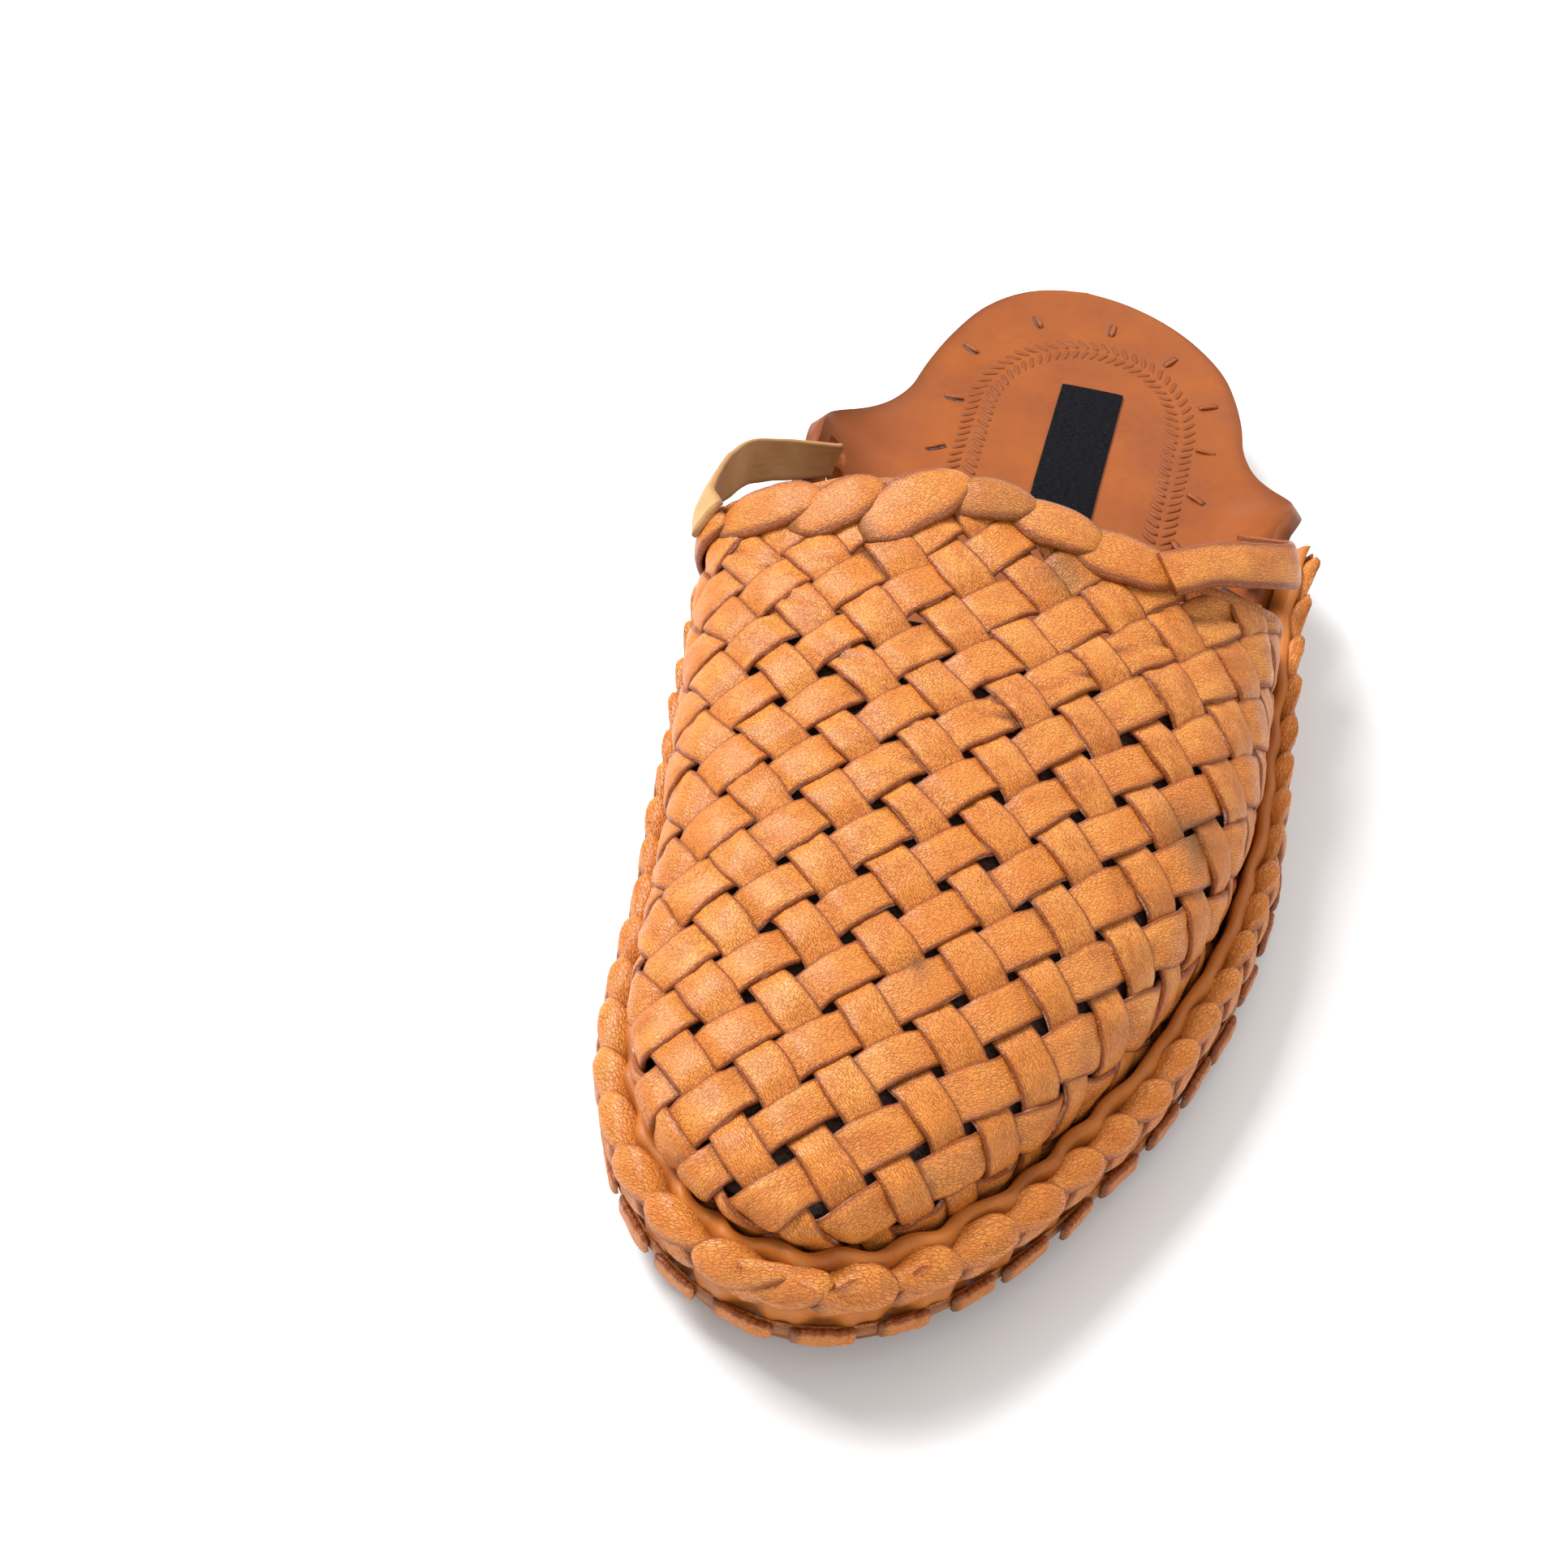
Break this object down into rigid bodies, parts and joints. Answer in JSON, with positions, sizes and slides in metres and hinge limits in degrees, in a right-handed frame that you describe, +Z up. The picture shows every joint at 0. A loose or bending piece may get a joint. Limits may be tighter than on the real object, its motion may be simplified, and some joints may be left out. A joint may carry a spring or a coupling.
{
  "type": "leather slipper",
  "caption": "Hand-woven leather slipper for the left foot: closed toe, open back, braided edge, side ears and a low stacked heel.",
  "frame": {"origin": "on the floor, under the middle of the slipper's own box", "axes": "+Z up, toe towards -Y, heel towards +Y, medial side towards -X, lateral side towards +X"},
  "size_m": [0.1246, 0.2772, 0.0623],
  "materials": {
    "strip_leather": "bright tan grain, burnished edges",
    "sole_leather": "thick brown leather, worn satin",
    "footbed_leather": "smooth orange-brown satin",
    "band_leather": "smooth brown satin",
    "pale_leather": "pale flesh side, matte",
    "patch_cloth": "black, matte, bare"
  },
  "bodies": {
    "root": {"outsole": "sole_leather", "heel_lift": "sole_leather", "footbed": "footbed_leather", "label_patch": "patch_cloth", "upper": "strip_leather", "rand": "band_leather", "side_band": "band_leather", "edge_braid": "strip_leather", "sole_lace": "band_leather", "ear_strap": "pale_leather", "collar_strap": "strip_leather"}
  },
  "joints": []
}
